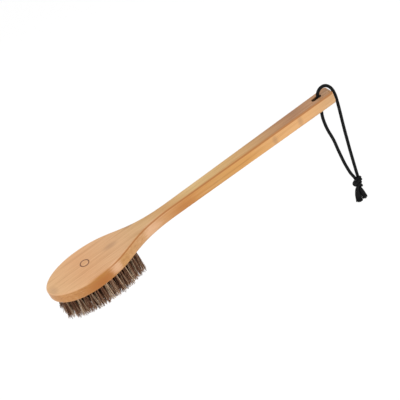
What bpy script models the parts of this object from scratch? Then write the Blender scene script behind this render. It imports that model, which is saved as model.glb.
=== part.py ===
"""Body dry brush: a one-piece bamboo board, its head drilled and filled with bristle tufts, and a
hanging loop of cord through a slot near the handle's end.

Units are metres and +Z is up: the plain back of the head faces up and the bristles point down. The
origin is inside the handle where a hand holds it, at mid thickness. +X runs along the handle, from
the head to the handle's end.
"""

import math

import bpy
from mathutils import Vector
from mathutils.geometry import interpolate_bezier

GAP = 0.0003  # between pieces that touch

# The board, head and handle in one piece. Distances along it are counted from the head's tip.
OVERALL_LENGTH = 0.421
GRIP_FROM_END = 0.101  # from the handle's end back to the middle of the grip
THICKNESS = 0.017
HEAD_HALF_WIDTH = 0.033
WIDEST_AT = 0.055
WAIST_AT = 0.175
WAIST_HALF_WIDTH = 0.007
END_HALF_WIDTH = 0.0098
END_CORNER_RADIUS = 0.004
BACK_EDGE_RADIUS = 0.0025
FRONT_EDGE_RADIUS = 0.0035
TIP_EXTRA_RADIUS = 0.0035  # the front edge is rounder at the head's tip
TIP_EXTRA_REACH = 0.028

# The slot for the cord, near the handle's end.
SLOT_FROM_END = 0.0201
SLOT_LENGTH = 0.013
SLOT_WIDTH = 0.0054

# The tufts, in rows across the head.
ROW_COUNT = 15
ROW_PITCH = 0.0071
PATCH_CENTRE_AT = 0.0601
PATCH_MARGIN = 0.0076  # from the head's edge to the outer holes' centres
NECK_FILL = 0.0017  # the last row before the neck reaches this much closer to the edge
TUFT_PITCH = 0.0074
HOLE_RADIUS = 0.00275
HOLE_DEPTH = 0.009
ROOT_RADIUS = 0.00235
BRISTLE_LENGTH = 0.0235  # free length below the head
TRIM_STEP = 0.0004  # every second tuft is this much shorter
SPLAY_ALONG = 0.0016  # how far the outermost tips lean out along the head
SPLAY_ACROSS = 0.0032
FAN_ALONG = 0.46  # half the tip of a tuft, as a share of the pitch there
FAN_ACROSS = 0.62
TUFT_SIDES = 8

# The cord, as points (x, z) in the plane y = 0. Both strands start in the slot and meet in the knot.
CORD_DIAMETER = 0.0040
STRAND_STEP = 0.0080  # between the tube's rings, two diameters
OUTER_STRAND = [
    (0.0832, 0.00015), (0.0833, 0.0040), (0.0836, 0.0085), (0.0851, 0.0127), (0.0880, 0.0158),
    (0.0918, 0.0172), (0.0960, 0.0168), (0.0999, 0.0142), (0.1029, 0.0098), (0.1049, 0.0036),
    (0.1055, -0.0055), (0.1048, -0.0150), (0.1031, -0.0295), (0.1011, -0.0442), (0.0992, -0.0591),
    (0.0975, -0.0743), (0.0958, -0.0894), (0.0943, -0.1050), (0.0929, -0.1200), (0.0918, -0.1327),
]
INNER_STRAND = [
    (0.0832, -0.00015), (0.0829, -0.0040), (0.0820, -0.0085), (0.0805, -0.0140), (0.0791, -0.0210),
    (0.0785, -0.0290), (0.0785, -0.0370), (0.0790, -0.0450), (0.0800, -0.0530), (0.0808, -0.0610),
    (0.0811, -0.0700), (0.0812, -0.0790), (0.0816, -0.0900), (0.0821, -0.1010), (0.0831, -0.1110),
    (0.0845, -0.1210), (0.0865, -0.1285), (0.0874, -0.1325),
]
KNOT_TOP = Vector((0.0896, 0.0, -0.1331))
KNOT_HEIGHT = 0.0158
KNOT_RADIUS = 0.0059
KNOT_FLAT_RADIUS = 0.0040  # where the strands go in and the tails come out
KNOT_LEAN = -0.0035  # its foot lies this far along x from its top
KNOT_SIDES = 16

# The tails below the knot, from its foot to their frayed ends.
TAIL_TOPS = {"cord_tail_left": 0.0839, "cord_tail_right": 0.0883}
TAIL_ENDS = {"cord_tail_left": 0.0814, "cord_tail_right": 0.0901}
TAIL_LENGTH = 0.0188
TAIL_END_RADII = {"cord_tail_left": 0.0046, "cord_tail_right": 0.0031}
TAIL_SIDES = 8

HEAD_TIP_X = GRIP_FROM_END - OVERALL_LENGTH
BACK_Z = THICKNESS / 2
FRONT_Z = -THICKNESS / 2
SLOT_X = GRIP_FROM_END - SLOT_FROM_END


def clear_scene():
    for o in list(bpy.data.objects):
        bpy.data.objects.remove(o, do_unlink=True)


def new_material(name, colour, roughness, metallic=0.0):
    material = bpy.data.materials.new(name)
    material.use_nodes = True
    shader = material.node_tree.nodes["Principled BSDF"]
    shader.inputs["Base Color"].default_value = (*colour, 1.0)
    shader.inputs["Roughness"].default_value = roughness
    shader.inputs["Metallic"].default_value = metallic
    return material


def new_object(name, vertices, faces, material=None, sharp_degrees=None):
    mesh = bpy.data.meshes.new(name)
    mesh.from_pydata([tuple(v) for v in vertices], [], faces)
    mesh.validate()
    if material:
        mesh.materials.append(material)
    if sharp_degrees:
        mesh.shade_smooth()
        mesh.set_sharp_from_angle(angle=math.radians(sharp_degrees))
    o = bpy.data.objects.new(name, mesh)
    bpy.context.scene.collection.objects.link(o)
    return o


def loft(rings, first_vertex=0):
    """Faces of a closed body through rings of equal length, listed from the top down."""
    n = len(rings[0])
    vertices = [p for ring in rings for p in ring]
    faces = []
    for k in range(len(rings) - 1):
        a, b = k * n, (k + 1) * n
        for i in range(n):
            j = (i + 1) % n
            faces.append((a + i, b + i, b + j, a + j))
    faces.append(tuple(range(n)))
    faces.append(tuple(reversed(range(len(vertices) - n, len(vertices)))))
    return vertices, [tuple(first_vertex + i for i in face) for face in faces]


def make_cutter(o):
    o.hide_render = True
    o.display_type = "WIRE"
    return o


def add_boolean(o, operation, operand):
    modifier = o.modifiers.new(operation.lower(), "BOOLEAN")
    modifier.operation = operation
    modifier.solver = "EXACT"
    modifier.object = make_cutter(operand)


# ---------------------------------------------------------------- the board


def half_outline():
    """One edge of the board as (distance from the tip, half width), from the tip to the end."""
    tip_steps = 16
    points = []
    for k in range(tip_steps):
        angle = math.pi / 2 * k / tip_steps
        points.append((WIDEST_AT * (1 - math.cos(angle)), HEAD_HALF_WIDTH * math.sin(angle)))
    handle_pull = (WAIST_AT - WIDEST_AT) * 0.4375  # length of the shoulder curve's two handles
    shoulder = interpolate_bezier(
        Vector((WIDEST_AT, HEAD_HALF_WIDTH)),
        Vector((WIDEST_AT + handle_pull, HEAD_HALF_WIDTH)),
        Vector((WAIST_AT - 1.285 * handle_pull, WAIST_HALF_WIDTH)),
        Vector((WAIST_AT, WAIST_HALF_WIDTH)),
        24,
    )
    points += [(p.x, p.y) for p in shoulder]
    corner_at = OVERALL_LENGTH - END_CORNER_RADIUS
    corner_steps = 5
    for k in range(corner_steps + 1):
        angle = math.pi / 2 * k / corner_steps
        out = END_HALF_WIDTH - END_CORNER_RADIUS * (1 - math.cos(angle))
        points.append((corner_at + END_CORNER_RADIUS * math.sin(angle), out))
    return points


def board_outline():
    """The board seen from above, counter-clockwise, as vectors (x, y) in the part's frame."""
    near = [Vector((HEAD_TIP_X + d, -w)) for d, w in half_outline()]
    far = [Vector((p.x, -p.y)) for p in reversed(near[1:])]
    return near + far


def inset(outline, distance):
    """A counter-clockwise outline moved inward."""
    n = len(outline)
    moved = []
    for i in range(n):
        before = (outline[i] - outline[i - 1]).normalized()
        after = (outline[(i + 1) % n] - outline[i]).normalized()
        inward = Vector((-before.y - after.y, before.x + after.x)).normalized()
        moved.append(outline[i] + inward * distance / inward.dot(Vector((-after.y, after.x))))
    return moved


def front_edge_radius(p):
    """The rounding of the front edge at a point of the outline."""
    from_tip = (p.x - HEAD_TIP_X) / TIP_EXTRA_REACH
    return FRONT_EDGE_RADIUS + TIP_EXTRA_RADIUS * max(0.0, 1 - from_tip) ** 2


def board_rings(outline):
    """Rings from the back to the front, with both edges rounded."""
    edge_steps = 4
    inward = [q - p for p, q in zip(outline, inset(outline, 1.0))]
    rings = []
    for k in range(edge_steps + 1):
        angle = math.pi / 2 * k / edge_steps
        step = BACK_EDGE_RADIUS * (1 - math.sin(angle))
        z = BACK_Z - BACK_EDGE_RADIUS * (1 - math.cos(angle))
        rings.append([(*(p + step * n), z) for p, n in zip(outline, inward)])
    for k in range(edge_steps + 1):
        angle = math.pi / 2 * k / edge_steps
        ring = []
        for p, n in zip(outline, inward):
            radius = front_edge_radius(p)
            moved = p + radius * (1 - math.cos(angle)) * n
            ring.append((*moved, FRONT_Z + radius * (1 - math.sin(angle))))
        rings.append(ring)
    return rings


def slot_cutter():
    side_steps = 8
    past = 0.002
    ring = []
    for side in (1, -1):
        centre_x = SLOT_X + side * (SLOT_LENGTH - SLOT_WIDTH) / 2
        for k in range(side_steps + 1):
            angle = math.pi * (k / side_steps - 0.5) + (0 if side > 0 else math.pi)
            x = centre_x + SLOT_WIDTH / 2 * math.cos(angle)
            ring.append((x, SLOT_WIDTH / 2 * math.sin(angle)))
    rings = [[(x, y, z) for x, y in ring] for z in (BACK_Z + past, FRONT_Z - past)]
    return new_object("cut_slot", *loft(rings))


def ellipse_ring(centre, radius_x, radius_y):
    """A ring round a tuft or its hole. Its flats, not its corners, face the neighbours."""
    ring = []
    for k in range(TUFT_SIDES):
        angle = 2 * math.pi * (k + 0.5) / TUFT_SIDES
        across = centre + Vector((radius_x * math.cos(angle), radius_y * math.sin(angle), 0))
        ring.append(across)
    return ring


def join_bodies(bodies):
    """Vertices and faces of several lofted bodies in one mesh."""
    vertices, faces = [], []
    for rings in bodies:
        points, more = loft(rings, len(vertices))
        vertices += points
        faces += more
    return vertices, faces


def hole_cutter(rows):
    past = 0.001
    bodies = []
    for row in rows:
        for x, y in row:
            top = Vector((x, y, FRONT_Z + HOLE_DEPTH))
            bottom = Vector((x, y, FRONT_Z - past))
            bodies.append([ellipse_ring(p, HOLE_RADIUS, HOLE_RADIUS) for p in (top, bottom)])
    return new_object("cut_tuft_holes", *join_bodies(bodies))


def make_board(outline, rows):
    bamboo = new_material("bamboo", (0.62, 0.38, 0.19), 0.42)
    board = new_object("brush_back", *loft(board_rings(outline)), bamboo, sharp_degrees=40)
    add_boolean(board, "DIFFERENCE", slot_cutter())
    add_boolean(board, "DIFFERENCE", hole_cutter(rows))


# ---------------------------------------------------------------- the tufts


def half_width_at(outline, x):
    """Half the width of a symmetric outline at x."""
    n = len(outline)
    for i in range(n):
        a, b = outline[i], outline[(i + 1) % n]
        if a.y <= 0 and b.y <= 0 and a.x <= x < b.x:
            return -(a.y + (b.y - a.y) * (x - a.x) / (b.x - a.x))
    return 0.0


def tuft_rows(outline):
    """The middles of the tufts' holes, row by row from the tip, as (x, y)."""
    patch = inset(outline, PATCH_MARGIN)
    rows = []
    for i in range(ROW_COUNT):
        x = HEAD_TIP_X + PATCH_CENTRE_AT + (i - (ROW_COUNT - 1) / 2) * ROW_PITCH
        past_centre = (2 * i + 1) / ROW_COUNT - 1
        half = half_width_at(patch, x) + NECK_FILL * max(0.0, past_centre)
        count = round(2 * half / TUFT_PITCH) + 1
        rows.append([(x, -half + 2 * half * k / (count - 1)) for k in range(count)])
    return rows


def tuft_rings(x, y, length, tip_pitch):
    """A tuft from its root in the hole to its trimmed tip: straight in the hole, then a fan."""
    centre_x = HEAD_TIP_X + PATCH_CENTRE_AT
    reach_x = (ROW_COUNT - 1) / 2 * ROW_PITCH
    reach_y = HEAD_HALF_WIDTH - PATCH_MARGIN
    tip_x = x + SPLAY_ALONG * (x - centre_x) / reach_x
    tip_y = y + SPLAY_ACROSS * y / reach_y
    row_pitch = ROW_PITCH * (1 + SPLAY_ALONG / reach_x)
    root = Vector((x, y, FRONT_Z + HOLE_DEPTH - GAP))
    mouth = Vector((x, y, FRONT_Z))
    tip = Vector((tip_x, tip_y, FRONT_Z - length))
    return [
        ellipse_ring(root, ROOT_RADIUS, ROOT_RADIUS),
        ellipse_ring(mouth, ROOT_RADIUS, ROOT_RADIUS),
        ellipse_ring(tip, FAN_ALONG * row_pitch, FAN_ACROSS * tip_pitch),
    ]


def make_tuft_row(number, row, bristle):
    """One row of tufts, whose fans run together at the tips and make it one body."""
    reach_y = HEAD_HALF_WIDTH - PATCH_MARGIN
    tip_pitch = (row[1][1] - row[0][1]) * (1 + SPLAY_ACROSS / reach_y)
    tufts = []
    for k, (x, y) in enumerate(row):
        length = BRISTLE_LENGTH - TRIM_STEP * (k % 2)
        tufts.append(tuft_rings(x, y, length, tip_pitch))
    name = f"tuft_row_{number:02d}"
    base = new_object(name, *join_bodies(tufts[0::2]), bristle)
    between = new_object(f"join_{name}", *join_bodies(tufts[1::2]))
    add_boolean(base, "UNION", between)


# ---------------------------------------------------------------- the cord


def smooth_route(points, step):
    """Points along a smooth curve through (x, z) points in the plane y = 0, evenly spaced."""
    knots = [Vector((x, 0.0, z)) for x, z in points]
    padded = [2 * knots[0] - knots[1]] + knots + [2 * knots[-1] - knots[-2]]
    fine = []
    for i in range(1, len(padded) - 2):
        a, b, c, d = padded[i - 1 : i + 3]
        pull_b, pull_c = (c - a) / 6, (d - b) / 6
        fine += interpolate_bezier(b, b + pull_b, c - pull_c, c, 12)[:-1]
    fine.append(knots[-1])
    lengths = [0.0]
    for p, q in zip(fine, fine[1:]):
        lengths.append(lengths[-1] + (q - p).length)
    count = max(2, round(lengths[-1] / step))
    route, k = [], 0
    for i in range(count + 1):
        target = lengths[-1] * i / count
        while k < len(fine) - 2 and lengths[k + 1] < target:
            k += 1
        share = (target - lengths[k]) / (lengths[k + 1] - lengths[k])
        route.append(fine[k].lerp(fine[k + 1], share))
    return route


def make_tube(name, points, step, material):
    curve = bpy.data.curves.new(name, "CURVE")
    curve.dimensions = "3D"
    curve.bevel_depth = CORD_DIAMETER / 2
    curve.bevel_resolution = 2
    curve.use_fill_caps = True
    curve.twist_mode = "MINIMUM"
    spline = curve.splines.new("POLY")
    route = smooth_route(points, step)
    spline.points.add(len(route) - 1)
    for point, place in zip(spline.points, route):
        point.co = (*place, 1.0)
    spline.use_smooth = True
    curve.materials.append(material)
    tube = bpy.data.objects.new(name, curve)
    bpy.context.scene.collection.objects.link(tube)


def round_ring(centre, radius, sides):
    """A level ring round a point."""
    ring = []
    for i in range(sides):
        angle = 2 * math.pi * i / sides
        ring.append(centre + radius * Vector((math.cos(angle), math.sin(angle), 0)))
    return ring


def make_knot(material):
    """The knot's outer shape: a round body, flat where the strands enter and the tails leave."""
    levels = 6
    rings = []
    for k in range(levels + 1):
        share = k / levels
        bulge = math.sqrt(1 - (2 * share - 1) ** 2)
        radius = KNOT_FLAT_RADIUS + (KNOT_RADIUS - KNOT_FLAT_RADIUS) * bulge
        centre = KNOT_TOP + share * Vector((KNOT_LEAN, 0, -KNOT_HEIGHT))
        rings.append(round_ring(centre, radius, KNOT_SIDES))
    new_object("cord_knot", *loft(rings), material, sharp_degrees=60)


def make_tail(name, material):
    """A short end of the cord below the knot, which widens where its strands part."""
    levels = 4
    top = Vector((TAIL_TOPS[name], 0, KNOT_TOP.z - KNOT_HEIGHT - GAP))
    end = Vector((TAIL_ENDS[name], 0, top.z - TAIL_LENGTH))
    rings = []
    for k in range(levels + 1):
        share = k / levels
        radius = CORD_DIAMETER / 2 + (TAIL_END_RADII[name] - CORD_DIAMETER / 2) * share**2
        rings.append(round_ring(top.lerp(end, share), radius, TAIL_SIDES))
    new_object(name, *loft(rings), material, sharp_degrees=60)


def make_cord():
    black = new_material("black_cord", (0.012, 0.012, 0.013), 0.75)
    make_tube("cord_strand_outer", OUTER_STRAND, STRAND_STEP, black)
    make_tube("cord_strand_inner", INNER_STRAND, STRAND_STEP, black)
    make_knot(black)
    for name in TAIL_TOPS:
        make_tail(name, black)


def main():
    clear_scene()
    outline = board_outline()
    rows = tuft_rows(outline)
    make_board(outline, rows)
    bristle = new_material("bristle", (0.16, 0.115, 0.085), 0.6)
    for number, row in enumerate(rows, start=1):
        make_tuft_row(number, row, bristle)
    make_cord()


main()
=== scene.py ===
"""The looks of the body dry brush: a lacquered bamboo board, hair bristles and a black braided cord.

Units are metres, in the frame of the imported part: +X runs from the head to the handle's end, +Z out
of the plain back, and the bristles point down.
"""

import math

import bpy
import numpy as np
from mathutils import Matrix, Vector
from mathutils.geometry import interpolate_bezier


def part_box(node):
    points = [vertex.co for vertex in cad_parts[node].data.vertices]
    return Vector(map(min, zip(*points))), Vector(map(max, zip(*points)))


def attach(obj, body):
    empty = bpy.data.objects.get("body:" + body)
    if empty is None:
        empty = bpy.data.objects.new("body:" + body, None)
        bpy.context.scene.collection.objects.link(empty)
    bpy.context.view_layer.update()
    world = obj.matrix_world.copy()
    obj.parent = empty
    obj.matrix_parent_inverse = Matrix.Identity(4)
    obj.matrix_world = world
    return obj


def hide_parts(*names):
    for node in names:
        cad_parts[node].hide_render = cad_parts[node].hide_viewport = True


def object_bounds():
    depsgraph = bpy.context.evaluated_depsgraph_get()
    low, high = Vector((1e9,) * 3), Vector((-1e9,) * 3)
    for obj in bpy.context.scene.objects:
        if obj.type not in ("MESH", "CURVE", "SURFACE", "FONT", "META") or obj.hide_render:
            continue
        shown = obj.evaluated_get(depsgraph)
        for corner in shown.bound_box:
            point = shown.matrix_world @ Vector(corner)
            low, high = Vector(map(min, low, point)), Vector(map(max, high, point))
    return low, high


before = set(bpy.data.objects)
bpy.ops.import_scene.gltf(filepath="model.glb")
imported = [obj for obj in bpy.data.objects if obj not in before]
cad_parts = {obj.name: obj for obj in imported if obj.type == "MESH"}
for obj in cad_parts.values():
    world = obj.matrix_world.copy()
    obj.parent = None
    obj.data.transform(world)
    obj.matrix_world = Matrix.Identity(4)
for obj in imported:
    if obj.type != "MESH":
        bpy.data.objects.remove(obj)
CAD_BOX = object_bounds()

BOARD_LOW, BOARD_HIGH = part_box("brush_back")
HEAD_TIP_X, END_X = BOARD_LOW.x, BOARD_HIGH.x
HEAD_HALF_WIDTH = BOARD_HIGH.y
BACK_Z, FRONT_Z = BOARD_HIGH.z, BOARD_LOW.z

GOLDEN_ANGLE = math.pi * (3 - math.sqrt(5))  # spreads points evenly over a disc

# The camera, the lights and the floor.
CAMERA_AIM = Vector((-0.1114, -0.0178, 0.0))
CAMERA_DISTANCE = 1.75
CAMERA_AZIMUTH = -14.23
CAMERA_ELEVATION = 37.19
CAMERA_ROLL = -27.2
CAMERA_LENS = 133.05  # mm
SENSOR_WIDTH = 36.0  # mm
LIGHT_AIM = (-0.1, 0.0, 0.0)
WORLD_STRENGTH = 0.97
FLOOR_BELOW = 0.28  # under the brush's lowest point
FLOOR_HALF_SIZE = 12.0
FLOOR_DARK, FLOOR_LIGHT = (0.965, 0.965, 0.965, 1.0), (0.985, 0.985, 0.985, 1.0)

# The board. Distances along it are counted from the head's tip.
WIDEST_AT = 0.055
WAIST_AT = 0.175
WAIST_HALF_WIDTH = 0.007
SHOULDER_PULL = 0.4375  # of the shoulder curve at its wide end, in shoulder lengths
WAIST_PULL = 1.285 * SHOULDER_PULL
END_HALF_WIDTH = 0.0098
END_CORNER_RADIUS = 0.004
BACK_EDGE_RADIUS = 0.0025
FRONT_EDGE_RADIUS = 0.0035
TIP_EXTRA_RADIUS = 0.0035
TIP_EXTRA_REACH = 0.028
SLOT_FROM_END = 0.0201
SLOT_LENGTH = 0.0138  # with room for the braid's own relief
SLOT_WIDTH = 0.0054
SLOT_RIM = 0.0007
TUFT_PITCH = 0.0074  # across the head
HOLE_RADIUS = 0.00255
HOLE_DEPTH = 0.009
HOLE_RIM = 0.0003
GLUE_LAYERS = 3
STRIP_WIDTH = 0.0165

# The bristles.
BRISTLES_PER_TUFT = 130
BRISTLE_RADIUS = 0.00022
BRISTLE_LENGTH = 0.0246
DOME_DROP = 0.0005  # how much shorter a tuft is at its rim
NECK_TRIM_X = HEAD_TIP_X + 0.1095
NECK_TRIM = 0.45  # shortening past NECK_TRIM_X, per metre past it
ROOT_RADIUS = 0.0020
ROOT_SUNK = HOLE_DEPTH - 0.002
FAN_ALONG = 0.0050  # a tuft's reach at its tips, along and across the head
FAN_ACROSS = 0.0057
FAN_CURVE = 1.8  # over 1, the fan opens later
TIP_SPLAY = 0.0018  # how far the first and the last row lean along the head, at the tips
NECK_SPLAY = -0.0030
SPLAY_ACROSS = 0.0038  # how far each row's outer tufts lean outwards
NECK_SPREAD = 0.0042  # and how much more they do at the neck end
CLUMPS = 20
CLUMP_PULL = 0.40
CLUMP_SHARE = 0.5  # of the hairs that have their clump's colour
CLUMP_WANDER, CLUMP_UNEVEN = 0.00035, 0.00025  # spread of clumps' tips: sideways, in length
TUFT_WANDER = 0.0002
TIP_WANDER, BEND, UNEVEN, SHORTER = 0.00042, 0.00040, 0.0005, 0.0004
BRISTLE_SEED = 100  # of the first row

# The flat wire in each hole's bottom.
WIRE_LENGTH = 0.0044
WIRE_WIDTH = 0.0011
WIRE_THICKNESS = 0.0003
WIRE_DROP = 0.0006  # of its bent ends
WIRE_DEPTH = HOLE_DEPTH - 0.0014
WIRE_TURN = math.radians(25)  # one way and the other by turns

# The kinds of hair: colours at the root and at the tip, contrast, and each kind's share.
HAIRS = {
    "hair_dark": ((0.038, 0.014, 0.007, 1.0), (0.075, 0.029, 0.014, 1.0), 0.5),
    "hair_brown": ((0.150, 0.062, 0.032, 1.0), (0.240, 0.112, 0.062, 1.0), 0.5),
    "hair_tan": ((0.330, 0.170, 0.098, 1.0), (0.430, 0.250, 0.155, 1.0), 0.4),
    "hair_beige": ((0.650, 0.460, 0.300, 1.0), (0.760, 0.580, 0.400, 1.0), 0.25),
}
HAIR_SHARES = (0.19, 0.35, 0.28, 0.18)
DARK_STREAK = (0.020, 0.012, 0.009, 1.0)

# The shade on hairs deep between the tufts, near the wood. The patch is the oval that the tufts fill.
PATCH_MIDDLE_X = HEAD_TIP_X + 0.0601
PATCH_HALF_LENGTH = 0.055
PATCH_HALF_WIDTH = 0.027
SHADE_OUT, SHADE_IN = 0.90, 0.80  # where it starts and is full, in shares of the patch
SHADE_LOW_Z, SHADE_HIGH_Z = FRONT_Z - 0.024, FRONT_Z - 0.010
SHADE_STRENGTH = 0.95
SHADE = (0.012, 0.007, 0.005, 1.0)

# The cord: the route's points are (x, z) in the plane y = 0.
CORD_DIAMETER = 0.0040
OUTER_STRAND = [
    (0.0832, 0.00015), (0.0833, 0.0040), (0.0836, 0.0085), (0.0851, 0.0127), (0.0880, 0.0158),
    (0.0918, 0.0172), (0.0960, 0.0168), (0.0999, 0.0142), (0.1029, 0.0098), (0.1049, 0.0036),
    (0.1055, -0.0055), (0.1048, -0.0150), (0.1031, -0.0295), (0.1011, -0.0442), (0.0992, -0.0591),
    (0.0975, -0.0743), (0.0958, -0.0894), (0.0943, -0.1050), (0.0929, -0.1200), (0.0918, -0.1327),
]
INNER_STRAND = [
    (0.0832, -0.00015), (0.0829, -0.0040), (0.0820, -0.0085), (0.0805, -0.0140), (0.0791, -0.0210),
    (0.0785, -0.0290), (0.0785, -0.0370), (0.0790, -0.0450), (0.0800, -0.0530), (0.0808, -0.0610),
    (0.0811, -0.0700), (0.0812, -0.0790), (0.0816, -0.0900), (0.0821, -0.1010), (0.0831, -0.1110),
    (0.0845, -0.1210), (0.0865, -0.1285), (0.0874, -0.1325),
]
BRAID_YARNS = 8  # in each direction
BRAID_LAY = 0.0105  # along the cord, for one turn of a yarn
BRAID_RELIEF = 0.00024
BRAID_PEAK = 0.00012  # how far the yarns stand out of the nominal diameter
BRAID_STEP = 0.0003
BRAID_SIDES = 32
CORD_BLACK, CORD_SHEEN = (0.002, 0.002, 0.0025, 1.0), (0.009, 0.0095, 0.010, 1.0)

# The knot. Its strands are moved in steps, from a large loose knot to a tight one.
KNOT_POINTS = 84
KNOT_STEPS = 1300
KNOT_CORD = 0.0030  # how close the squeezed cord's middles come inside the knot
KNOT_CORD_RADIUS = 0.00165
KNOT_SQUEEZE = 0.006  # the length over which the cord thins at either end
LOOSE_SCALE = 0.0042
LOOSE_END = 2.12  # where the loose knot's curve starts and stops
LOOSE_APART = 0.55  # from the middle to each strand, in KNOT_CORD
PULL_SHARE = 0.35  # of the steps, in which the ends move into place
TIGHTEN, PUSH, PUSH_ROUNDS, LONGEST_PUSH = 0.2, 0.3, 3, 0.0006
OWN_REACH = 1.55  # how near along one strand its parts don't push each other, in KNOT_CORD

# The tails.
TAIL_END_RADII = {"left": 0.0049, "right": 0.0038}
TAIL_OPENING = 0.75  # under 1, a tail widens early
TAIL_BEND = 0.0008
BRAID_ENDS_AT, YARNS_START_AT = 0.60, 0.45  # shares of the tail's length
YARNS = 170
YARN_POINTS = 6
YARN_SIDES = 6
YARN_RADIUS = 0.00034
YARN_WAVE = 0.00014
YARN_END_STEPS = 7  # over which the yarns' ends are scattered
TAIL_SEED = 5


# ---------------------------------------------------------------- camera and light


def make_camera():
    """A camera that looks at the aim from the given distance, azimuth, elevation and roll."""
    data = bpy.data.cameras.new("camera")
    data.lens = CAMERA_LENS
    data.sensor_width = SENSOR_WIDTH
    data.clip_end = 20.0
    turn = (
        Matrix.Rotation(math.radians(CAMERA_AZIMUTH), 4, "Z")
        @ Matrix.Rotation(math.radians(90 - CAMERA_ELEVATION), 4, "X")
        @ Matrix.Rotation(math.radians(CAMERA_ROLL), 4, "Z")
    )
    camera = bpy.data.objects.new("camera", data)
    camera.matrix_world = Matrix.Translation(CAMERA_AIM) @ turn @ Matrix.Translation((0, 0, CAMERA_DISTANCE))
    bpy.context.scene.collection.objects.link(camera)
    bpy.context.scene.camera = camera


def add_area_light(name, place, size, watts):
    """A soft white lamp that points at the brush."""
    data = bpy.data.lights.new(name, "AREA")
    data.shape = "RECTANGLE"
    data.size, data.size_y = size
    data.energy = watts
    light = bpy.data.objects.new(name, data)
    light.location = place
    light.rotation_euler = (Vector(LIGHT_AIM) - Vector(place)).to_track_quat("-Z", "Y").to_euler()
    light.visible_camera = False
    bpy.context.scene.collection.objects.link(light)


def make_studio():
    """A pale floor below the brush, a pale world and soft lights."""
    world = bpy.data.worlds.new("studio")
    world.use_nodes = True
    background = world.node_tree.nodes["Background"]
    background.inputs["Color"].default_value = (1.0, 1.0, 1.0, 1.0)
    background.inputs["Strength"].default_value = WORLD_STRENGTH
    bpy.context.scene.world = world
    bpy.context.scene.view_settings.view_transform = "Standard"
    add_area_light("overhead", (-0.7, -0.2, 2.2), (1.8, 1.4), 7.0)
    add_area_light("front", (0.5, -1.7, 0.6), (0.8, 0.8), 2.5)

    floor_material, tree, shader = new_material("pale_floor")
    grain = add_node(tree, "ShaderNodeTexNoise", {"Scale": 40.0, "Detail": 2.0})
    tone = add_node(tree, "ShaderNodeValToRGB", {"Fac": grain.outputs["Fac"]})
    tone.color_ramp.elements[0].color = FLOOR_DARK
    tone.color_ramp.elements[1].color = FLOOR_LIGHT
    tree.links.new(tone.outputs["Color"], shader.inputs["Base Color"])
    shader.inputs["Roughness"].default_value = 0.9
    size, level = FLOOR_HALF_SIZE, CAD_BOX[0].z - FLOOR_BELOW
    corners = [(x * size, y * size, level) for x, y in ((-1, -1), (1, -1), (1, 1), (-1, 1))]
    floor = new_object("floor", corners, [(0, 1, 2, 3)], [floor_material])


# ---------------------------------------------------------------- materials


def new_material(name):
    """A material, its node tree and its Principled shader."""
    material = bpy.data.materials.new(name)
    material.use_nodes = True
    return material, material.node_tree, material.node_tree.nodes["Principled BSDF"]


def add_node(tree, kind, inputs=None, **settings):
    """A new node. Each input, by name or number, is a value or a socket to link."""
    node = tree.nodes.new(kind)
    for key, value in settings.items():
        setattr(node, key, value)
    for key, value in (inputs or {}).items():
        if isinstance(value, bpy.types.NodeSocket):
            tree.links.new(value, node.inputs[key])
        else:
            node.inputs[key].default_value = value
    return node


def math_node(tree, operation, *values):
    """The output of a Math node on values and sockets."""
    return add_node(tree, "ShaderNodeMath", dict(enumerate(values)), operation=operation).outputs[0]


def product(tree, *factors):
    """The product of several values and sockets."""
    result = factors[0]
    for factor in factors[1:]:
        result = math_node(tree, "MULTIPLY", result, factor)
    return result


def mix_colour(tree, share, a, b, blend="MIX"):
    """The output of a Mix node: colour a where share is 0, b or b blended into a where it is 1."""
    node = add_node(tree, "ShaderNodeMix", {}, data_type="RGBA", blend_type=blend)
    for socket, value in zip((node.inputs[0], node.inputs[6], node.inputs[7]), (share, a, b)):
        if isinstance(value, bpy.types.NodeSocket):
            tree.links.new(value, socket)
        else:
            socket.default_value = value
    return node.outputs[2]


def stretched_noise(tree, place, scale, detail=3.0, roughness=0.55, seed=0.0):
    """Noise on the coordinates times scale, a vector, and shifted by seed."""
    inputs = {"Vector": place, "Scale": scale, "Location": (seed, seed, seed)}
    mapping = add_node(tree, "ShaderNodeMapping", inputs)
    inputs = {"Vector": mapping.outputs[0], "Scale": 1.0, "Detail": detail, "Roughness": roughness}
    return add_node(tree, "ShaderNodeTexNoise", inputs).outputs["Fac"]


def ramp(tree, value, low, high):
    """0 where value is at low or beyond it, 1 at high or beyond, smooth between. Low may be the larger."""
    inputs = {"Value": value, "From Min": low, "From Max": high}
    node = add_node(tree, "ShaderNodeMapRange", inputs, interpolation_type="SMOOTHSTEP")
    return node.outputs["Result"]


# The bamboo's colour along the board, as (x, colour): on its faces and on its narrow sides.
FACE_TONES = [
    (-0.320, (0.70, 0.43, 0.215)), (-0.270, (0.675, 0.363, 0.170)), (-0.220, (0.655, 0.383, 0.192)),
    (-0.180, (0.575, 0.350, 0.153)), (-0.152, (0.557, 0.304, 0.111)), (-0.107, (0.62, 0.412, 0.172)),
    (-0.048, (0.58, 0.34, 0.123)), (-0.003, (0.495, 0.276, 0.117)), (0.041, (0.394, 0.195, 0.089)),
    (0.071, (0.417, 0.211, 0.098)), (0.101, (0.46, 0.24, 0.11)),
]
SIDE_TONES = [
    (-0.320, (0.61, 0.295, 0.100)), (-0.290, (0.515, 0.225, 0.060)), (-0.262, (0.50, 0.217, 0.036)),
    (-0.220, (0.605, 0.308, 0.100)), (-0.180, (0.643, 0.351, 0.158)), (-0.122, (0.616, 0.268, 0.061)),
    (-0.078, (0.645, 0.33, 0.091)), (-0.033, (0.715, 0.36, 0.097)), (0.012, (0.785, 0.43, 0.165)),
    (0.056, (0.81, 0.447, 0.185)), (0.094, (0.685, 0.404, 0.19)),
]

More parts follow.
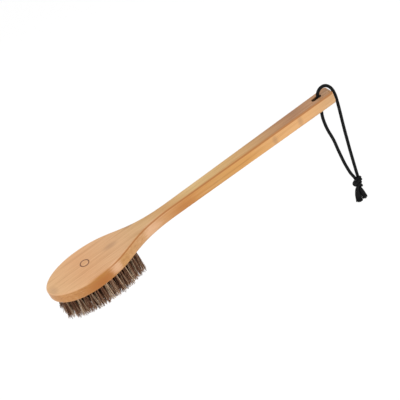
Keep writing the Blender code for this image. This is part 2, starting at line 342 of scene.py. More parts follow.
# Lengthwise streaks: frequency (x, y, z) per metre, where the noise starts and ends, strength, tint.
STREAKS = [
    ((9.0, 40.0, 60.0), 0.30, 0.70, 0.4, (0.88, 0.84, 0.78, 1.0)),
    ((5.0, 150.0, 170.0), 0.50, 0.70, 0.45, (0.88, 0.83, 0.76, 1.0)),
    ((7.0, 340.0, 340.0), 0.50, 0.72, 0.9, (0.86, 0.80, 0.72, 1.0)),
    ((14.0, 620.0, 620.0), 0.50, 0.78, 0.8, (0.80, 0.72, 0.62, 1.0)),
    ((55.0, 1900.0, 1900.0), 0.56, 0.74, 0.5, (0.62, 0.50, 0.40, 1.0)),
]

# Where growth rings, other darker spots, painted shade and paler spots of painted reflection lie on the
# board:
# centre (x, y, z), reach (x, y, z), strength, colour.
DARK_RING = (0.30, 0.155, 0.08, 1.0)
DEEP_ORANGE = (0.42, 0.13, 0.014, 1.0)
# The colour of painted reflections on the lacquer.
PAINTED_REFLECTION = (0.86, 0.52, 0.32, 1.0)
WOOD_SPOTS = [
    ((-0.3135, -0.006, 0.0080), (0.006, 0.010, 0.008), 0.30, DARK_RING),
    ((-0.229, 0.001, 0.0085), (0.011, 0.006, 0.003), 0.42, DARK_RING),
    ((-0.196, 0.0125, 0.0085), (0.009, 0.004, 0.004), 0.50, DARK_RING),
    ((0.048, 0.003, 0.0085), (0.010, 0.007, 0.003), 0.50, DARK_RING),
    ((0.047, -0.0092, 0.0005), (0.004, 0.003, 0.009), 0.35, DARK_RING),
    ((0.008, -0.0088, -0.001), (0.004, 0.003, 0.009), 0.35, DARK_RING),
    # The first deep orange spot is painted shade on the head's near side.
    ((-0.262, -0.033, -0.002), (0.028, 0.006, 0.012), 0.85, DEEP_ORANGE),
    ((-0.130, -0.007, -0.003), (0.022, 0.004, 0.009), 0.45, DEEP_ORANGE),
    # Paler spots of painted reflection on the lacquer of the near side.
    ((-0.239, -0.031, 0.002), (0.010, 0.006, 0.012), 0.60, PAINTED_REFLECTION),
    ((-0.178, -0.0095, 0.000), (0.020, 0.004, 0.012), 0.50, PAINTED_REFLECTION),
]
SPOT_EDGE, SPOT_CORE = 1.25, 0.15  # in reaches from a spot's centre
SPOT_WAVER = 1.1  # how far the grain breaks up a spot's edge, in reaches

# The rounded back edge: painted shade along the neck and handle, a painted highlight on the rim round the
# tip.
EDGE_SHADE = (0.40, 0.14, 0.028, 1.0)
EDGE_SHADE_STRENGTH = 0.85
EDGE_HIGHLIGHT = (0.86, 0.56, 0.33, 1.0)
EDGE_HIGHLIGHT_STRENGTH = 0.45
EDGE_CHANGE_X, EDGE_SHADE_X, EDGE_HIGHLIGHT_X = -0.262, -0.235, -0.285

# The plain burnt ring on the head's back.
MARK_PLACE = (-0.265, 0.003)
MARK_RADIUS = 0.0055
MARK_LINE = 0.0015
MARK_STRENGTH = 0.92
BURNT = (0.130, 0.040, 0.012, 1.0)

# Painted shade inside the cord's slot.
SLOT_SHADE = (0.035, 0.020, 0.012, 1.0)
SLOT_SHADE_STRENGTH = 0.9
STRIP_TINT = (0.90, 0.86, 0.80, 1.0)
STRIP_TINT_STRENGTH = 0.5
PALE_GRAIN = (0.80, 0.52, 0.30, 1.0)
PALE_GRAIN_STRENGTH = 0.30


def add_spot(tree, colour, place, waver, centre, reach, strength, spot_colour):
    """The colour with one soft oval spot, broken up by the grain."""
    offset = add_node(tree, "ShaderNodeVectorMath", {0: place, 1: centre}, operation="SUBTRACT")
    scaled = add_node(tree, "ShaderNodeVectorMath", {0: offset.outputs[0], 1: reach}, operation="DIVIDE")
    length = add_node(tree, "ShaderNodeVectorMath", {0: scaled.outputs[0]}, operation="LENGTH")
    distance = math_node(tree, "ADD", length.outputs["Value"], waver)
    share = math_node(tree, "MULTIPLY", ramp(tree, distance, SPOT_EDGE, SPOT_CORE), strength)
    return mix_colour(tree, share, colour, spot_colour)


def tone_along(tree, x, tones):
    """The colour that a list of (x, colour) gives at x."""
    low, high = tones[0][0], tones[-1][0]
    inputs = {"Value": x, "From Min": low, "From Max": high}
    share = add_node(tree, "ShaderNodeMapRange", inputs).outputs["Result"]
    node = add_node(tree, "ShaderNodeValToRGB", {"Fac": share})
    stops = node.color_ramp.elements
    stops[0].color, stops[1].color = (*tones[0][1], 1.0), (*tones[-1][1], 1.0)
    for place, colour in tones[1:-1]:
        stops.new((place - low) / (high - low)).color = (*colour, 1.0)
    return node.outputs["Color"]


def add_edge_shade_and_highlight(tree, colour, x, z, upright):
    """The rounded back edge: a deep orange line of painted shade along the neck and handle, a paler rim of
    painted highlight round the tip.
    """
    slanting = product(tree, ramp(tree, upright, 0.10, 0.35), ramp(tree, upright, 0.93, 0.70))
    edge = product(tree, slanting, ramp(tree, z, 0.003, 0.006))
    # Painted shade on the edge past the neck, painted highlight on the rim round the tip.
    deep = product(tree, edge, ramp(tree, x, EDGE_CHANGE_X, EDGE_SHADE_X), EDGE_SHADE_STRENGTH)
    pale = product(tree, edge, ramp(tree, x, EDGE_CHANGE_X, EDGE_HIGHLIGHT_X), EDGE_HIGHLIGHT_STRENGTH)
    return mix_colour(tree, pale, mix_colour(tree, deep, colour, EDGE_SHADE), EDGE_HIGHLIGHT)


def add_slot_shade(tree, colour, axis):
    """Painted shade inside the cord's slot, where the cord and the slot's walls keep the light out."""
    middle = END_X - SLOT_FROM_END
    off_x = math_node(tree, "ABSOLUTE", math_node(tree, "SUBTRACT", axis.outputs["X"], middle))
    off_y = math_node(tree, "ABSOLUTE", axis.outputs["Y"])
    off_z = math_node(tree, "ABSOLUTE", axis.outputs["Z"])
    along = math_node(tree, "LESS_THAN", off_x, SLOT_LENGTH / 2 + SLOT_RIM)
    between = math_node(tree, "LESS_THAN", off_y, SLOT_WIDTH / 2 + SLOT_RIM)
    within = ramp(tree, off_z, BACK_Z, BACK_Z - 0.0012)
    share = product(tree, along, between, within, SLOT_SHADE_STRENGTH)
    return mix_colour(tree, share, colour, SLOT_SHADE)


def add_ring_mark(tree, colour, axis):
    """A plain burnt ring on the head's back."""
    flat_place = add_node(tree, "ShaderNodeCombineXYZ", {0: axis.outputs["X"], 1: axis.outputs["Y"]})
    inputs = {0: flat_place.outputs[0], 1: (*MARK_PLACE, 0.0)}
    radius = add_node(tree, "ShaderNodeVectorMath", inputs, operation="DISTANCE").outputs["Value"]
    off_line = math_node(tree, "ABSOLUTE", math_node(tree, "SUBTRACT", radius, MARK_RADIUS))
    line = ramp(tree, off_line, MARK_LINE * 0.65, MARK_LINE * 0.35)
    on_back = ramp(tree, axis.outputs["Z"], BACK_Z - 0.001, BACK_Z - 0.0002)
    return mix_colour(tree, product(tree, line, on_back, MARK_STRENGTH), colour, BURNT)


def make_bamboo():
    """Strips of bamboo glued side by side: fine straight grain, tinted strips, growth rings."""
    material, tree, shader = new_material("lacquered_bamboo")
    coordinates = add_node(tree, "ShaderNodeTexCoord")
    place = coordinates.outputs["Object"]
    axis = add_node(tree, "ShaderNodeSeparateXYZ", {0: place})
    facing = add_node(tree, "ShaderNodeSeparateXYZ", {0: coordinates.outputs["Normal"]})
    upright = math_node(tree, "ABSOLUTE", facing.outputs["Z"])

    face = tone_along(tree, axis.outputs["X"], FACE_TONES)
    side = tone_along(tree, axis.outputs["X"], SIDE_TONES)
    colour = mix_colour(tree, ramp(tree, upright, 0.55, 0.95), side, face)

    # Each glued strip has a tint of its own: strips across the board and layers through it.
    thickness = BACK_Z - FRONT_Z
    across = math_node(tree, "FLOOR", math_node(tree, "DIVIDE", axis.outputs["Y"], STRIP_WIDTH))
    level = math_node(tree, "SUBTRACT", axis.outputs["Z"], FRONT_Z)
    layer = math_node(tree, "FLOOR", math_node(tree, "MULTIPLY", level, GLUE_LAYERS / thickness))
    strip = add_node(tree, "ShaderNodeCombineXYZ", {0: across, 1: layer})
    tint = add_node(tree, "ShaderNodeTexWhiteNoise", {"Vector": strip.outputs[0]}).outputs["Value"]
    share = math_node(tree, "MULTIPLY", tint, STRIP_TINT_STRENGTH)
    colour = mix_colour(tree, share, colour, STRIP_TINT, "MULTIPLY")

    streaks = []
    for seed, (scale, low, high, strength, tint) in enumerate(STREAKS):
        noise = stretched_noise(tree, place, scale, seed=1.3 * seed)
        streaks.append(noise)
        share = math_node(tree, "MULTIPLY", ramp(tree, noise, low, high), strength)
        colour = mix_colour(tree, share, colour, tint, "MULTIPLY")
    grain, fibres = streaks[-2:]
    share = math_node(tree, "MULTIPLY", ramp(tree, grain, 0.46, 0.26), PALE_GRAIN_STRENGTH)
    colour = mix_colour(tree, share, colour, PALE_GRAIN)

    waver = math_node(tree, "MULTIPLY", math_node(tree, "SUBTRACT", grain, 0.5), SPOT_WAVER)
    for centre, reach, strength, spot_colour in WOOD_SPOTS:
        colour = add_spot(tree, colour, place, waver, centre, reach, strength, spot_colour)
    # Painted shade and a painted highlight on the rounded back edge.
    colour = add_edge_shade_and_highlight(tree, colour, axis.outputs["X"], axis.outputs["Z"], upright)
    # Painted shade inside the cord's slot.
    colour = add_slot_shade(tree, colour, axis)
    colour = add_ring_mark(tree, colour, axis)

    tree.links.new(colour, shader.inputs["Base Color"])
    gloss = add_node(tree, "ShaderNodeMapRange", {"Value": grain, "To Min": 0.36, "To Max": 0.50})
    tree.links.new(gloss.outputs["Result"], shader.inputs["Roughness"])
    shader.inputs["Specular IOR Level"].default_value = 0.35
    shader.inputs["Coat Weight"].default_value = 0.12
    shader.inputs["Coat Roughness"].default_value = 0.3
    relief = math_node(tree, "ADD", grain, math_node(tree, "MULTIPLY", fibres, 0.6))
    bump = add_node(tree, "ShaderNodeBump", {"Height": relief, "Strength": 0.10, "Distance": 0.0004})
    tree.links.new(bump.outputs["Normal"], shader.inputs["Normal"])
    return material


def add_root_shade(tree, colour, place, height):
    """The colour, darkened deep between the tufts near the wood."""
    inputs = {0: place, 1: (PATCH_MIDDLE_X, 0.0, 0.0)}
    offset = add_node(tree, "ShaderNodeVectorMath", inputs, operation="SUBTRACT").outputs[0]
    inputs = {0: offset, 1: (1 / PATCH_HALF_LENGTH, 1 / PATCH_HALF_WIDTH, 0.0)}
    scaled = add_node(tree, "ShaderNodeVectorMath", inputs, operation="MULTIPLY").outputs[0]
    outward = add_node(tree, "ShaderNodeVectorMath", {0: scaled}, operation="LENGTH").outputs["Value"]
    inner = ramp(tree, outward, SHADE_OUT, SHADE_IN)
    near_wood = ramp(tree, height, SHADE_LOW_Z, SHADE_HIGH_Z)
    return mix_colour(tree, product(tree, inner, near_wood, SHADE_STRENGTH), colour, SHADE)


def make_bristle_material(name, root_colour, tip_colour, contrast):
    """Hair that pales towards its tip, with some hairs darker than others."""
    material, tree, shader = new_material(name)
    place = add_node(tree, "ShaderNodeTexCoord").outputs["Object"]
    height = add_node(tree, "ShaderNodeSeparateXYZ", {0: place}).outputs["Z"]
    to_tip = ramp(tree, height, FRONT_Z - 0.004, FRONT_Z - BRISTLE_LENGTH)
    colour = mix_colour(tree, to_tip, root_colour, tip_colour)
    hairs = stretched_noise(tree, place, (1100.0, 1100.0, 90.0), 2.0, 0.6)
    darker = math_node(tree, "MULTIPLY", ramp(tree, hairs, 0.45, 0.70), contrast)
    colour = mix_colour(tree, darker, colour, DARK_STREAK)
    colour = add_root_shade(tree, colour, place, height)
    tree.links.new(colour, shader.inputs["Base Color"])
    gloss = add_node(tree, "ShaderNodeMapRange", {"Value": hairs, "To Min": 0.42, "To Max": 0.62})
    tree.links.new(gloss.outputs["Result"], shader.inputs["Roughness"])
    shader.inputs["Specular IOR Level"].default_value = 0.08
    return material


def make_cord_material():
    """Black polyester yarn with a slight sheen along the fibres."""
    material, tree, shader = new_material("black_braid")
    place = add_node(tree, "ShaderNodeTexCoord").outputs["Object"]
    fibres = stretched_noise(tree, place, (3200.0, 3200.0, 1400.0), 2.0, 0.6)
    colour = mix_colour(tree, ramp(tree, fibres, 0.3, 0.7), CORD_BLACK, CORD_SHEEN)
    tree.links.new(colour, shader.inputs["Base Color"])
    gloss = add_node(tree, "ShaderNodeMapRange", {"Value": fibres, "To Min": 0.55, "To Max": 0.8})
    tree.links.new(gloss.outputs["Result"], shader.inputs["Roughness"])
    shader.inputs["Specular IOR Level"].default_value = 0.12
    bump = add_node(tree, "ShaderNodeBump", {"Height": fibres, "Strength": 0.3, "Distance": 0.0002})
    tree.links.new(bump.outputs["Normal"], shader.inputs["Normal"])
    return material


def make_steel():
    """The flat wire that anchors each tuft."""
    material, tree, shader = new_material("anchor_steel")
    place = add_node(tree, "ShaderNodeTexCoord").outputs["Object"]
    draw_lines = stretched_noise(tree, place, (600.0, 5000.0, 5000.0), 2.0)
    gloss = add_node(tree, "ShaderNodeMapRange", {"Value": draw_lines, "To Min": 0.25, "To Max": 0.45})
    tree.links.new(gloss.outputs["Result"], shader.inputs["Roughness"])
    shader.inputs["Base Color"].default_value = (0.62, 0.60, 0.57, 1.0)
    shader.inputs["Metallic"].default_value = 1.0
    return material


# ---------------------------------------------------------------- mesh tools


def new_object(name, vertices, faces, materials, face_materials=None):
    """A smooth-shaded mesh object. face_materials gives the number of each face's material."""
    mesh = bpy.data.meshes.new(name)
    mesh.from_pydata(vertices, [], faces)
    for material in materials:
        mesh.materials.append(material)
    if face_materials is not None:
        mesh.polygons.foreach_set("material_index", face_materials)
    mesh.shade_smooth()
    mesh.update()
    o = bpy.data.objects.new(name, mesh)
    bpy.context.scene.collection.objects.link(o)
    return o


def loft(rings):
    """Vertices and faces of a closed body through rings of equal length."""
    n = len(rings[0])
    vertices = [tuple(p) for ring in rings for p in ring]
    faces = []
    for k in range(len(rings) - 1):
        a, b = k * n, (k + 1) * n
        for i in range(n):
            j = (i + 1) % n
            faces.append((a + i, b + i, b + j, a + j))
    faces.append(tuple(range(n)))
    faces.append(tuple(reversed(range(len(vertices) - n, len(vertices)))))
    return vertices, faces


def join_bodies(bodies):
    """Vertices and faces of several bodies in one mesh."""
    vertices, faces = [], []
    for points, more in bodies:
        first = len(vertices)
        vertices += points
        faces += [tuple(first + i for i in face) for face in more]
    return vertices, faces


def apply_modifiers(o):
    """Replace the object's mesh by what its modifiers make of it."""
    graph = bpy.context.evaluated_depsgraph_get()
    mesh = bpy.data.meshes.new_from_object(o.evaluated_get(graph), depsgraph=graph)
    o.modifiers.clear()
    o.data = mesh


# ---------------------------------------------------------------- the board


def half_outline():
    """One edge of the board as (distance from the tip, half width), from the tip to the end."""
    tip_steps, shoulder_steps, corner_steps = 48, 72, 10
    points = []
    for k in range(tip_steps):
        angle = math.pi / 2 * k / tip_steps
        points.append((WIDEST_AT * (1 - math.cos(angle)), HEAD_HALF_WIDTH * math.sin(angle)))
    shoulder_length = WAIST_AT - WIDEST_AT
    shoulder = interpolate_bezier(
        Vector((WIDEST_AT, HEAD_HALF_WIDTH)),
        Vector((WIDEST_AT + SHOULDER_PULL * shoulder_length, HEAD_HALF_WIDTH)),
        Vector((WAIST_AT - WAIST_PULL * shoulder_length, WAIST_HALF_WIDTH)),
        Vector((WAIST_AT, WAIST_HALF_WIDTH)),
        shoulder_steps,
    )
    points += [(p.x, p.y) for p in shoulder]
    corner_at = END_X - HEAD_TIP_X - END_CORNER_RADIUS
    for k in range(corner_steps + 1):
        angle = math.pi / 2 * k / corner_steps
        out = END_HALF_WIDTH - END_CORNER_RADIUS * (1 - math.cos(angle))
        points.append((corner_at + END_CORNER_RADIUS * math.sin(angle), out))
    return points


def board_outline():
    """The board seen from above, counter-clockwise."""
    near = [Vector((HEAD_TIP_X + d, -w)) for d, w in half_outline()]
    far = [Vector((p.x, -p.y)) for p in reversed(near[1:])]
    return near + far


def inward_normals(outline):
    """At each point of a counter-clockwise outline, the step that moves its edges in by one."""
    n = len(outline)
    steps = []
    for i in range(n):
        before = (outline[i] - outline[i - 1]).normalized()
        after = (outline[(i + 1) % n] - outline[i]).normalized()
        inward = Vector((-before.y - after.y, before.x + after.x)).normalized()
        steps.append(inward / inward.dot(Vector((-after.y, after.x))))
    return steps


def front_edge_radius(p):
    """The rounding of the front edge at a point of the outline."""
    from_tip = (p.x - HEAD_TIP_X) / TIP_EXTRA_REACH
    return FRONT_EDGE_RADIUS + TIP_EXTRA_RADIUS * max(0.0, 1 - from_tip) ** 2


def board_rings(outline):
    """Rings from the back to the front, with both edges rounded."""
    edge_steps = 8
    inward = inward_normals(outline)
    rings = []
    for k in range(edge_steps + 1):
        angle = math.pi / 2 * k / edge_steps
        step = BACK_EDGE_RADIUS * (1 - math.sin(angle))
        z = BACK_Z - BACK_EDGE_RADIUS * (1 - math.cos(angle))
        rings.append([(*(p + step * n), z) for p, n in zip(outline, inward)])
    for k in range(edge_steps + 1):
        angle = math.pi / 2 * k / edge_steps
        ring = []
        for p, n in zip(outline, inward):
            radius = front_edge_radius(p)
            moved = p + radius * (1 - math.cos(angle)) * n
            ring.append((*moved, FRONT_Z + radius * (1 - math.sin(angle))))
        rings.append(ring)
    return rings


def slot_ring(grow, z):
    """A round-ended ring round the slot, larger than it by grow."""
    side_steps = 14
    radius = SLOT_WIDTH / 2 + grow
    ring = []
    for side in (1, -1):
        centre_x = END_X - SLOT_FROM_END + side * (SLOT_LENGTH - SLOT_WIDTH) / 2
        for k in range(side_steps + 1):
            angle = math.pi * (k / side_steps - 0.5) + (0 if side > 0 else math.pi)
            ring.append((centre_x + radius * math.cos(angle), radius * math.sin(angle), z))
    return ring


def slot_cutter():
    """The slot's outer shape, flared at both faces so that its rims come out rounded."""
    rim_steps, past = 5, 0.002
    rings = [slot_ring(SLOT_RIM, BACK_Z + past)]
    for k in range(rim_steps + 1):
        angle = math.pi / 2 * k / rim_steps
        rings.append(slot_ring(SLOT_RIM * (1 - math.sin(angle)), BACK_Z - SLOT_RIM * (1 - math.cos(angle))))
    for k in range(rim_steps + 1):
        angle = math.pi / 2 * k / rim_steps
        rings.append(slot_ring(SLOT_RIM * (1 - math.cos(angle)), FRONT_Z + SLOT_RIM * (1 - math.sin(angle))))
    rings.append(slot_ring(SLOT_RIM, FRONT_Z - past))
    return loft(rings)


def round_ring(centre, radius, sides):
    """A level ring of points round the centre."""
    ring = []
    for i in range(sides):
        angle = 2 * math.pi * i / sides
        ring.append(centre + radius * Vector((math.cos(angle), math.sin(angle), 0)))
    return ring


def tuft_holes(node):
    """The middles of one row's holes, from the level round roots of the node's tufts."""
    vertices = np.array([v.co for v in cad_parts[node].data.vertices])
    roots = vertices[vertices[:, 2] > vertices[:, 2].max() - 1e-5]
    low, high = roots.min(0), roots.max(0)
    root_radius = (high[0] - low[0]) / 2
    half = (high[1] - low[1]) / 2 - root_radius
    count = round(2 * half / TUFT_PITCH) + 1
    return [Vector((low[0] + root_radius, half * (2 * k / (count - 1) - 1))) for k in range(count)]


def hole_cutter(hole):
    """A blind hole with a slightly opened rim."""
    sides, past = 20, 0.001
    levels = [
        (FRONT_Z + HOLE_DEPTH, HOLE_RADIUS * 0.6),
        (FRONT_Z + HOLE_DEPTH - HOLE_RADIUS * 0.4, HOLE_RADIUS),
        (FRONT_Z + HOLE_RIM, HOLE_RADIUS),
        (FRONT_Z, HOLE_RADIUS + HOLE_RIM),
        (FRONT_Z - past, HOLE_RADIUS + HOLE_RIM),
    ]
    return loft([round_ring(Vector((*hole, z)), radius, sides) for z, radius in levels])


def make_board(rows):
    """The bamboo board with its slot and holes cut out."""
    board = new_object("bamboo_board", *loft(board_rings(board_outline())), [make_bamboo()])
    holes = [hole_cutter(hole) for row in rows for hole in row]
    cutter = new_object("cut_slot_and_holes", *join_bodies([slot_cutter()] + holes), [])
    cut = board.modifiers.new("cut", "BOOLEAN")
    cut.operation = "DIFFERENCE"
    cut.solver = "EXACT"
    cut.object = cutter
    apply_modifiers(board)
    bpy.data.objects.remove(cutter)
    board.data.shade_smooth()
    board.data.set_sharp_from_angle(angle=math.radians(50))
    weighted = board.modifiers.new("even_faces", "WEIGHTED_NORMAL")
    weighted.keep_sharp = True
    apply_modifiers(board)
    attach(board, "brush")
    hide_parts("brush_back")


# ---------------------------------------------------------------- the bristles


def bristle_paths(hole, lean, rng):
    """The middle lines of a tuft's hairs, as an array (hair, point, xyz), and each hair's clump."""
    count = BRISTLES_PER_TUFT
    k = np.arange(count) + 0.5
    turn = k * GOLDEN_ANGLE + rng.uniform(0, 2 * math.pi)
    disc = np.stack([np.cos(turn), np.sin(turn)], 1) * np.sqrt(k / count)[:, None]
    root = np.array(hole) + disc * ROOT_RADIUS

    # Neighbouring hairs hang together in clumps, which close up towards their tips.
    centres = disc[rng.choice(count, CLUMPS, replace=False)]
    clump = np.linalg.norm(disc[:, None] - centres[None], axis=2).argmin(1)
    fan = disc + CLUMP_PULL * (centres[clump] - disc)
    lean = np.array(lean) + rng.normal(0, TUFT_WANDER, 2)
    lean = lean + rng.normal(0, CLUMP_WANDER, (CLUMPS, 2))[clump]
    tip = np.array(hole) + lean + fan * (FAN_ALONG, FAN_ACROSS)
    tip += rng.normal(0, TIP_WANDER, (count, 2))
    length = BRISTLE_LENGTH + rng.normal(-SHORTER, UNEVEN, count)
    length += rng.normal(0, CLUMP_UNEVEN, CLUMPS)[clump]
    length -= DOME_DROP * np.hypot(*disc.T) ** 2
    length -= np.maximum(0.0, tip[:, 0] - NECK_TRIM_X) * NECK_TRIM
    bend = rng.normal(0, BEND, (count, 2))

    paths = [np.column_stack([root, np.full(count, FRONT_Z + ROOT_SUNK)])]
    for share in (0.0, 0.25, 0.5, 0.75, 1.0):
        across = root + (tip - root) * share**FAN_CURVE + bend * 4 * share * (1 - share)
        paths.append(np.column_stack([across, FRONT_Z - length * share]))
    return np.stack(paths, 1), clump


def hair_mesh(paths, radius, rng):
    """Vertices and faces of tapered four-sided hairs along the paths."""
    hairs, points = paths.shape[:2]
    sides = 4
    turn = rng.uniform(0, math.pi, (hairs, 1)) + np.arange(sides) * math.pi / 2
    around = np.stack([np.cos(turn), np.sin(turn), np.zeros_like(turn)], 2)
    taper = np.linspace(1.0, 0.5, points)[None, :, None, None]
    thick = radius * rng.uniform(0.75, 1.25, (hairs, 1, 1, 1))
    vertices = (paths[:, :, None, :] + around[:, None] * taper * thick).reshape(-1, 3)
    ring = np.arange(sides)
    after = (ring + 1) % sides
    faces = []
    for k in range(points - 1):
        a, b = k * sides, (k + 1) * sides
        faces.append(np.stack([a + ring, a + after, b + after, b + ring], 1))
    faces.append(ring[::-1][None])
    faces.append((ring + (points - 1) * sides)[None])
    one = np.concatenate(faces)
    every = one[None] + (np.arange(hairs) * points * sides)[:, None, None]
    return vertices, every.reshape(-1, sides), len(one)


def hair_kinds(clump, rng):
    """The kind of each hair: most follow their clump, and the rest are any."""
    own = rng.choice(len(HAIRS), len(clump), p=HAIR_SHARES)
    shared = rng.choice(len(HAIRS), CLUMPS, p=HAIR_SHARES)[clump]
    return np.where(rng.random(len(clump)) < CLUMP_SHARE, shared, own)


def make_bristles(rows):
    """One piece for each row of tufts, its hairs from dark brown to beige."""
    materials = [make_bristle_material(name, *looks) for name, looks in HAIRS.items()]
    middle = (len(rows) - 1) / 2
    for number, row in enumerate(rows):
        rng = np.random.default_rng(BRISTLE_SEED + number)
        end_share = (number - middle) / middle
        lean_x = end_share * (TIP_SPLAY if end_share < 0 else NECK_SPLAY)
        spread = SPLAY_ACROSS + NECK_SPREAD * max(0.0, end_share)
        tufts = []
        for hole in row:
            lean_y = spread * hole.y / row[-1].y
            tufts.append(bristle_paths(hole, (lean_x, lean_y), rng))
        vertices, faces, per_hair = hair_mesh(np.concatenate([t[0] for t in tufts]), BRISTLE_RADIUS, rng)
        kinds = np.concatenate([hair_kinds(clump, rng) for _, clump in tufts])
        name = f"bristles_{number + 1:02d}"
        piece = new_object(name, vertices, faces, materials, np.repeat(kinds, per_hair))
        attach(piece, "brush")
        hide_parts(f"tuft_row_{number + 1:02d}")


def make_anchor_wires(rows):
    """The flat wires in the holes' bottoms, bent down at both ends, that hold the folded tufts."""
    drop, half_width, half_thickness = WIRE_DROP, WIRE_WIDTH / 2, WIRE_THICKNESS / 2
    profile = [(-1.0, -drop), (-0.82, -0.1 * drop), (0.0, 0.0), (0.82, -0.1 * drop), (1.0, -drop)]
    corners = [(y * half_width, z * half_thickness) for y, z in ((1, 1), (-1, 1), (-1, -1), (1, -1))]
    bodies = []
    for row in rows:
        for k, hole in enumerate(row):
            turn = Matrix.Rotation(WIRE_TURN if k % 2 else -WIRE_TURN, 3, "Z")
            top = Vector((*hole, FRONT_Z + WIRE_DEPTH))
            rings = []
            for share, down in profile:
                along = share * WIRE_LENGTH / 2
                rings.append([top + turn @ Vector((along, y, down + z)) for y, z in corners])
            bodies.append(loft(rings))
    wires = new_object("anchor_wires", *join_bodies(bodies), [make_steel()])
    wires.data.shade_flat()
    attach(wires, "brush")


# ---------------------------------------------------------------- the cord


def run_along(path):
    """The distance along a path at each of its points."""
    return np.concatenate([[0.0], np.cumsum(np.linalg.norm(np.diff(path, axis=0), axis=1))])


def smooth_route(points, step):
    """Evenly spaced points along a smooth curve through the points."""
    knots = [Vector(p) for p in points]
    padded = [2 * knots[0] - knots[1]] + knots + [2 * knots[-1] - knots[-2]]
    fine = []
    for i in range(1, len(padded) - 2):
        a, b, c, d = padded[i - 1 : i + 3]
        fine += interpolate_bezier(b, b + (c - a) / 6, c - (d - b) / 6, c, 16)[:-1]
    fine = np.array([*fine, knots[-1]])
    lengths = run_along(fine)
    count = max(2, round(lengths[-1] / step))
    targets = np.linspace(0.0, lengths[-1], count + 1)
    return np.stack([np.interp(targets, lengths, fine[:, i]) for i in range(3)], 1)


def frames_along(path):
    """Two crosswise directions at each point of a path, without twist."""
    tangents = np.gradient(path, axis=0)
    tangents /= np.linalg.norm(tangents, axis=1)[:, None]
    first = np.array((0.0, 1.0, 0.0))
    across = []
    for tangent in tangents:
        first = first - first.dot(tangent) * tangent
        first /= np.linalg.norm(first)
        across.append(first)
    across = np.array(across)
    return across, np.cross(tangents, across)


def braid_mesh(path, radii=None):
    """Vertices and faces of the cord along a path: yarns that cross over and under each other."""
    across, other = frames_along(path)
    if radii is None:
        radii = np.full(len(path), CORD_DIAMETER / 2)
    run = run_along(path)[:, None] / BRAID_LAY
    turn = (np.arange(BRAID_SIDES) / BRAID_SIDES)[None]
    u, v = BRAID_YARNS * (turn + run), BRAID_YARNS * (turn - run)
    rise_u, rise_v = np.sin(math.pi * (u % 1)), np.sin(math.pi * (v % 1))
    u_over = (np.floor(u) + np.floor(v)) % 2 == 0
    relief = np.where(u_over, rise_u**0.7 * (0.55 + 0.45 * rise_v), rise_v**0.7 * (0.55 + 0.45 * rise_u))
    radius = radii[:, None] + BRAID_PEAK - BRAID_RELIEF * (1 - relief)
    angle = 2 * math.pi * turn
    out = np.cos(angle)[..., None] * across[:, None] + np.sin(angle)[..., None] * other[:, None]
    vertices = path[:, None] + radius[..., None] * out
    return loft_array(vertices)


def loft_array(vertices):
    """Faces round rings given as an array (ring, point, xyz), with closed ends."""
    rings, sides = vertices.shape[:2]
    i = np.arange(sides)
    j = (i + 1) % sides
    faces = []
    for k in range(rings - 1):
        a, b = k * sides, (k + 1) * sides
        faces += np.stack([a + i, a + j, b + j, b + i], 1).tolist()
    faces.append(i[::-1].tolist())
    faces.append((i + (rings - 1) * sides).tolist())
    return vertices.reshape(-1, 3).tolist(), faces


def tie_knot(tops, feet):
    """The two strands of the overhand knot, pulled tight. The knot starts large and loose. Its strands
    then shorten step by step, and parts of them that come too close push each other away."""
    t = np.linspace(-LOOSE_END, LOOSE_END, KNOT_POINTS)
    loose = np.stack([-0.9 * (t**4 - 4 * t**2 + 2), t**3 - 3 * t, -0.55 * (t**5 - 10 * t)], 1)
    loose *= LOOSE_SCALE
    loose += (tops.mean(0) + feet.mean(0)) / 2 - loose.mean(0)
    across = frames_along(loose)[1]
    strands = np.stack([loose + side * across * LOOSE_APART * KNOT_CORD for side in (1, -1)])
    first, last = strands[:, 0].copy(), strands[:, -1].copy()
    chain = np.repeat([0, 1], KNOT_POINTS)
    index = np.tile(np.arange(KNOT_POINTS), 2)
    same = chain[:, None] == chain[None]
    apart = abs(index[:, None] - index[None])
    for step in range(KNOT_STEPS):
        share = min(1.0, step / (PULL_SHARE * KNOT_STEPS))
        strands[:, 0] = first * (1 - share) + tops * share
        strands[:, -1] = last * (1 - share) + feet * share
        strands[:, 1:-1] += TIGHTEN * ((strands[:, :-2] + strands[:, 2:]) / 2 - strands[:, 1:-1])
        spacing = np.linalg.norm(np.diff(strands, axis=1), axis=2).mean()
        near = same & (apart * spacing < OWN_REACH * KNOT_CORD)
        for _ in range(PUSH_ROUNDS):
            points = strands.reshape(-1, 3)
            offset = points[:, None] - points[None]
            distance = np.linalg.norm(offset, axis=2) + 1e-12
            push = np.where(near, 0.0, np.maximum(0.0, KNOT_CORD - distance)) * PUSH / distance
            move = np.clip((offset * push[..., None]).sum(1), -LONGEST_PUSH, LONGEST_PUSH)
            moved = (points + move).reshape(strands.shape)
            moved[:, 0], moved[:, -1] = strands[:, 0], strands[:, -1]
            strands = moved
    return strands


def knot_radii(path):
    """The cord's radius along the knot: squeezed inside it, full at both ends."""
    run = run_along(path)
    from_end = np.minimum(run, run[-1] - run)
    share = np.clip(from_end / KNOT_SQUEEZE, 0.0, 1.0)
    return CORD_DIAMETER / 2 + (KNOT_CORD_RADIUS - CORD_DIAMETER / 2) * share * share * (3 - 2 * share)


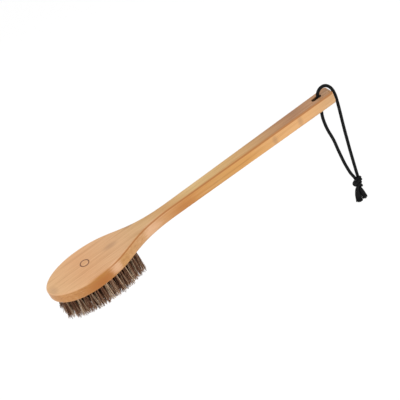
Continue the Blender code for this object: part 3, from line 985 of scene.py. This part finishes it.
def frayed_tail(path, end_radius, rng):
    """Vertices and faces of a tail: the braid opens out, and its yarns hang loose below it."""
    count = len(path)
    share = np.linspace(0, 1, count)
    radii = CORD_DIAMETER / 2 + (end_radius - CORD_DIAMETER / 2) * share**TAIL_OPENING
    braided = share <= BRAID_ENDS_AT
    bodies = [braid_mesh(path[braided], radii[braided])]
    across, other = frames_along(path)
    start = int(YARNS_START_AT * count)
    for k in range(YARNS):
        ring = math.sqrt((k + 0.5) / YARNS)
        turn = k * GOLDEN_ANGLE
        end = count - 1 - int(rng.integers(0, YARN_END_STEPS))
        line = []
        for m in range(YARN_POINTS):
            at = start + round((end - start) * m / (YARN_POINTS - 1))
            out = ring * (radii[at] - YARN_RADIUS)
            wave = rng.normal(0, YARN_WAVE, 2)
            aside = out * math.cos(turn) + wave[0], out * math.sin(turn) + wave[1]
            line.append(path[at] + aside[0] * across[at] + aside[1] * other[at])
        bodies.append(yarn_mesh(np.array(line)))
    return join_bodies(bodies)


def yarn_mesh(line):
    """Vertices and faces of one thin yarn."""
    across, other = frames_along(line)
    angle = 2 * math.pi * np.arange(YARN_SIDES) / YARN_SIDES
    out = np.cos(angle)[None, :, None] * across[:, None] + np.sin(angle)[None, :, None] * other[:, None]
    return loft_array(line[:, None] + YARN_RADIUS * out)


def tail_ends(side):
    """The middles of the top and bottom faces of a tail's solid."""
    vertices = np.array([v.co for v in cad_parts[f"cord_tail_{side}"].data.vertices])
    height = vertices[:, 2]
    middles = []
    for face in (vertices[height > height.max() - 1e-5], vertices[height < height.min() + 1e-5]):
        middles.append((face.min(0) + face.max(0)) / 2)
    return middles


def make_knot(tops, feet, black):
    """The overhand knot, from the strands' lower ends to the tails' upper ends."""
    bodies = []
    for strand in tie_knot(tops, feet):
        path = smooth_route(strand[::2].tolist() + [strand[-1].tolist()], BRAID_STEP)
        bodies.append(braid_mesh(path, knot_radii(path)))
    knot = new_object("overhand_knot", *join_bodies(bodies), [black])
    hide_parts("cord_knot")
    return knot


def make_tails(black):
    """The two frayed tails below the knot."""
    tails = []
    rng = np.random.default_rng(TAIL_SEED)
    for side, bend_y in (("right", -TAIL_BEND), ("left", TAIL_BEND)):
        foot, end = tail_ends(side)
        bend = foot * 0.5 + end * 0.5 + np.array((0.0, bend_y, 0.0))
        path = smooth_route([foot, bend, end], BRAID_STEP)
        tail = new_object(f"frayed_tail_{side}", *frayed_tail(path, TAIL_END_RADII[side], rng), [black])
        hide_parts(f"cord_tail_{side}")
        tails.append(tail)
    return tails


def make_cord():
    """The hanging loop: two strands of one cord, tied together and frayed below the knot."""
    black = make_cord_material()
    strands = {}
    for name, points in (("braid_outer", OUTER_STRAND), ("braid_inner", INNER_STRAND)):
        path = smooth_route([(x, 0.0, z) for x, z in points], BRAID_STEP)
        strands[name] = (new_object(name, *braid_mesh(path), [black]), path)
    tops = np.array([strands["braid_outer"][1][-1], strands["braid_inner"][1][-1]])
    feet = np.array([tail_ends("right")[0], tail_ends("left")[0]])
    knot = make_knot(tops, feet, black)
    tails = make_tails(black)

    for piece in (strands["braid_outer"][0], strands["braid_inner"][0], knot, *tails):
        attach(piece, "hanging_loop")
    for name, node in (("braid_outer", "cord_strand_outer"), ("braid_inner", "cord_strand_inner")):
        piece, path = strands[name]
        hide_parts(node)


make_camera()
make_cord()
make_studio()
rows = [tuft_holes(node) for node in sorted(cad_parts) if node.startswith("tuft_row_")]
make_board(rows)
make_bristles(rows)
make_anchor_wires(rows)
